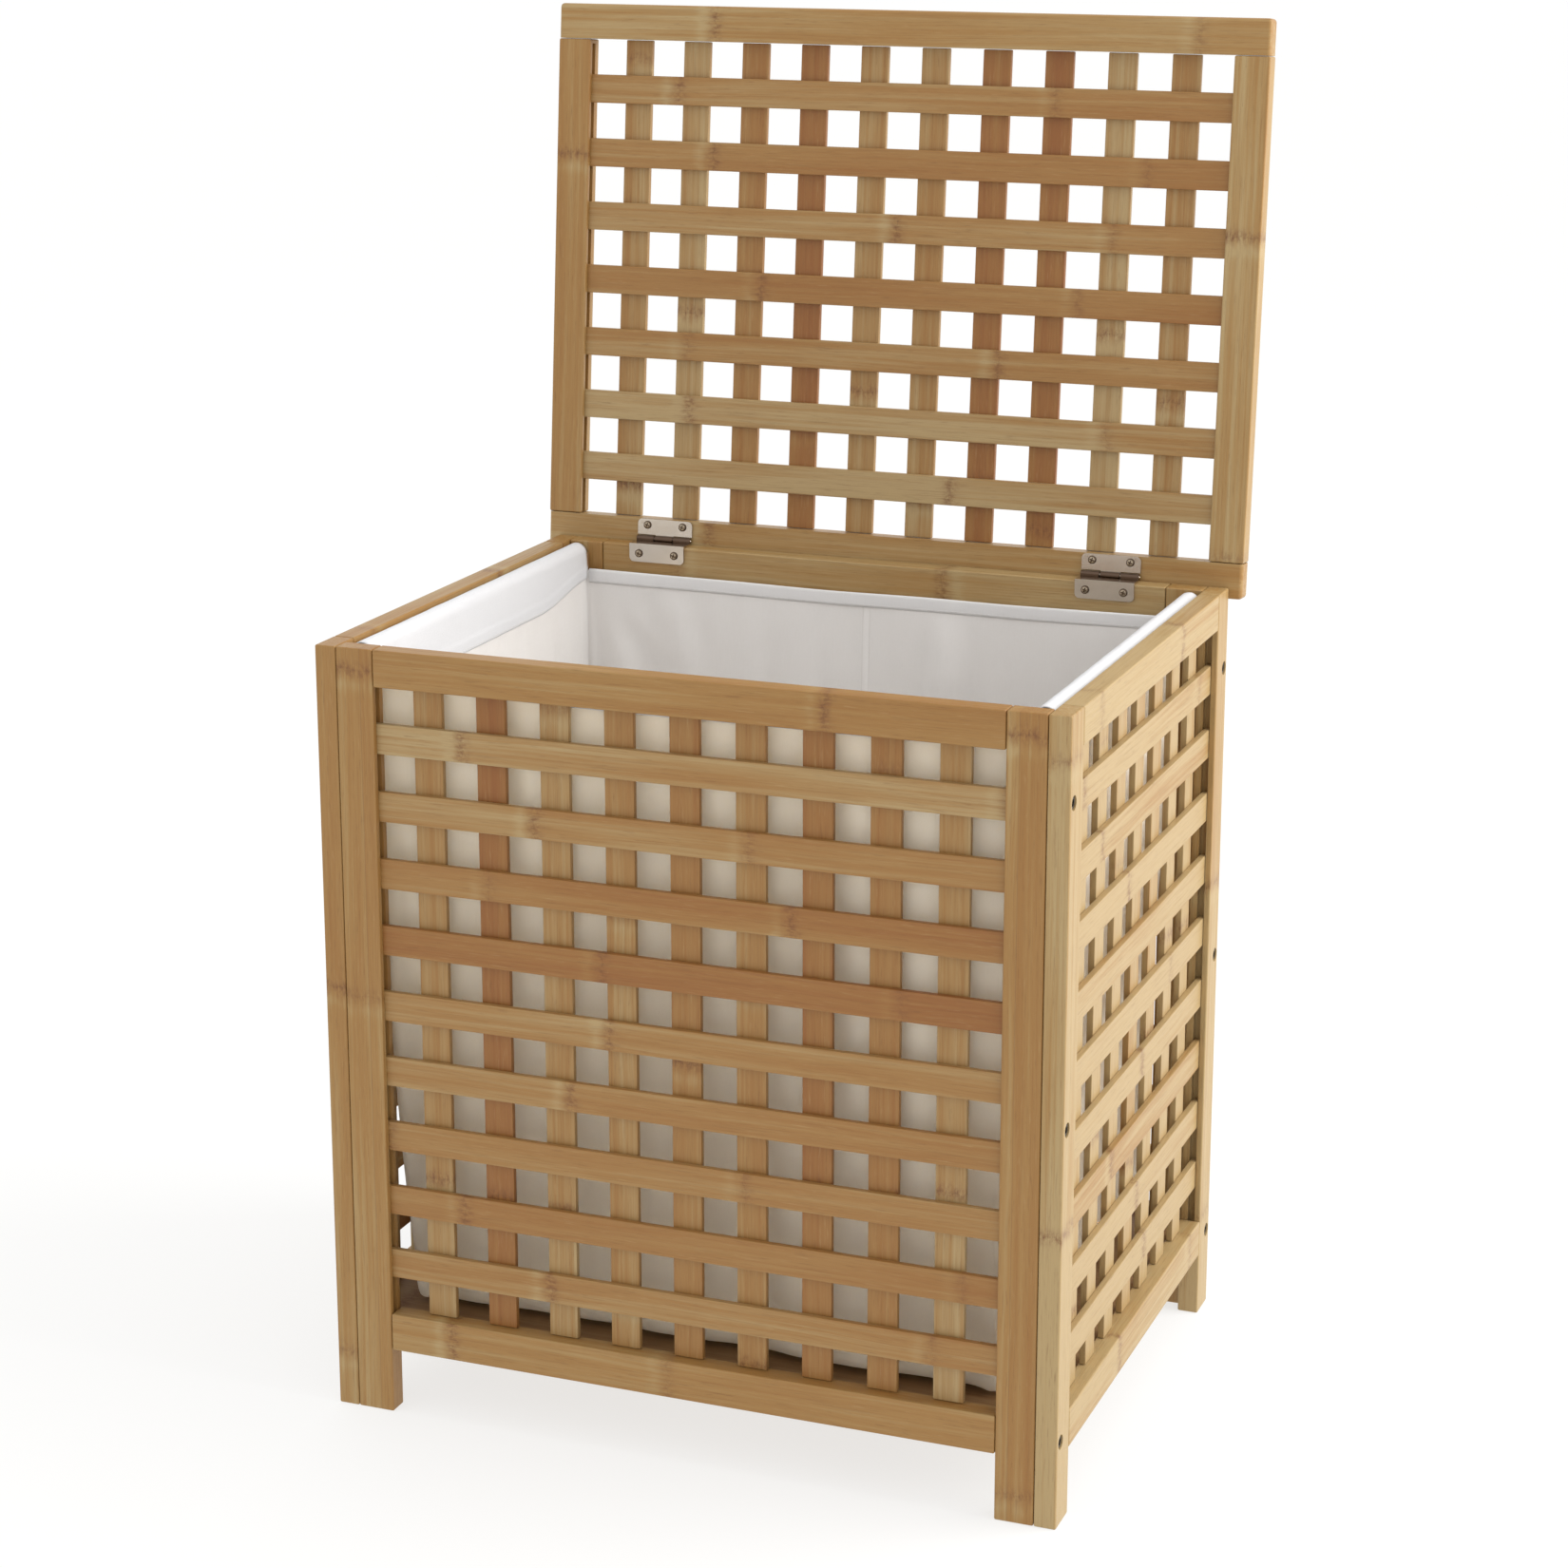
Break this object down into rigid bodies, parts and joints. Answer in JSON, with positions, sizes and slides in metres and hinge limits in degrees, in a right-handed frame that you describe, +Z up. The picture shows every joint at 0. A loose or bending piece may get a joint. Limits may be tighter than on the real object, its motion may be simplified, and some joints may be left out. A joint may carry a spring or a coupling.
{
  "type": "laundry hamper with lid",
  "caption": "Rectangular bamboo lattice laundry hamper on short legs, with a hinged lattice lid and a cotton liner hung on rods.",
  "frame": {"origin": "on the floor, under the middle of the whole shape with its lid open", "axes": "+Z up, +Y towards the back where the lid is hinged, +X towards the right side seen from the front"},
  "size_m": [0.466, 0.3778, 0.8112],
  "materials": {
    "bamboo_frame": "clear-lacquered honey bamboo, satin, with lengthwise fibres and darker growth rings at the nodes",
    "bamboo_slats": "clear-lacquered honey bamboo slats whose tone varies from slat to slat, satin",
    "base_board": "thin bamboo plywood, plain",
    "hinge_metal": "nickel-plated steel leaf, satin",
    "screw_metal": "plated cross-head screw",
    "bolt_metal": "dark plated socket bolt",
    "rod_metal": "plain steel tube",
    "rod_rest": "plain bamboo block",
    "cotton_liner": "plain-weave off-white cotton, stitched hems"
  },
  "bodies": {
    "hamper": {"back_bottom_rail": "bamboo_frame", "back_lattice": "bamboo_slats", "back_left_stile": "bamboo_frame", "back_right_stile": "bamboo_frame", "back_top_rail": "bamboo_frame", "base_board": "base_board", "front_bottom_rail": "bamboo_frame", "front_lattice": "bamboo_slats", "front_left_stile": "bamboo_frame", "front_right_stile": "bamboo_frame", "front_top_rail": "bamboo_frame", "left_bottom_rail": "bamboo_frame", "left_front_bottom_bolt": "bolt_metal", "left_front_middle_bolt": "bolt_metal", "left_front_rod_rest": "rod_rest", "left_front_stile": "bamboo_frame", "left_front_top_bolt": "bolt_metal", "left_hinge_body_leaf": "hinge_metal", "left_hinge_body_screw_inner": "screw_metal", "left_hinge_body_screw_outer": "screw_metal", "left_hinge_pin": "hinge_metal", "left_lattice": "bamboo_slats", "left_liner_rod": "rod_metal", "left_rear_bottom_bolt": "bolt_metal", "left_rear_middle_bolt": "bolt_metal", "left_rear_rod_rest": "rod_rest", "left_rear_stile": "bamboo_frame", "left_rear_top_bolt": "bolt_metal", "left_top_rail": "bamboo_frame", "liner": "cotton_liner", "right_bottom_rail": "bamboo_frame", "right_front_bottom_bolt": "bolt_metal", "right_front_middle_bolt": "bolt_metal", "right_front_rod_rest": "rod_rest", "right_front_stile": "bamboo_frame", "right_front_top_bolt": "bolt_metal", "right_hinge_body_leaf": "hinge_metal", "right_hinge_body_screw_inner": "screw_metal", "right_hinge_body_screw_outer": "screw_metal", "right_hinge_pin": "hinge_metal", "right_lattice": "bamboo_slats", "right_liner_rod": "rod_metal", "right_rear_bottom_bolt": "bolt_metal", "right_rear_middle_bolt": "bolt_metal", "right_rear_rod_rest": "rod_rest", "right_rear_stile": "bamboo_frame", "right_rear_top_bolt": "bolt_metal", "right_top_rail": "bamboo_frame"},
    "lid": {"left_hinge_lid_leaf": "hinge_metal", "left_hinge_lid_screw_inner": "screw_metal", "left_hinge_lid_screw_outer": "screw_metal", "lid_front_rail": "bamboo_frame", "lid_lattice": "bamboo_slats", "lid_left_stile": "bamboo_frame", "lid_rear_rail": "bamboo_frame", "lid_right_stile": "bamboo_frame", "right_hinge_lid_leaf": "hinge_metal", "right_hinge_lid_screw_inner": "screw_metal", "right_hinge_lid_screw_outer": "screw_metal"}
  },
  "joints": [
    {"name": "lid_hinge", "type": "hinge", "parent": "hamper", "child": "lid", "pos_m": [0, 0.1437, 0.4723], "axis": [1, 0, 0], "range_deg": [0, 95.7]}
  ]
}
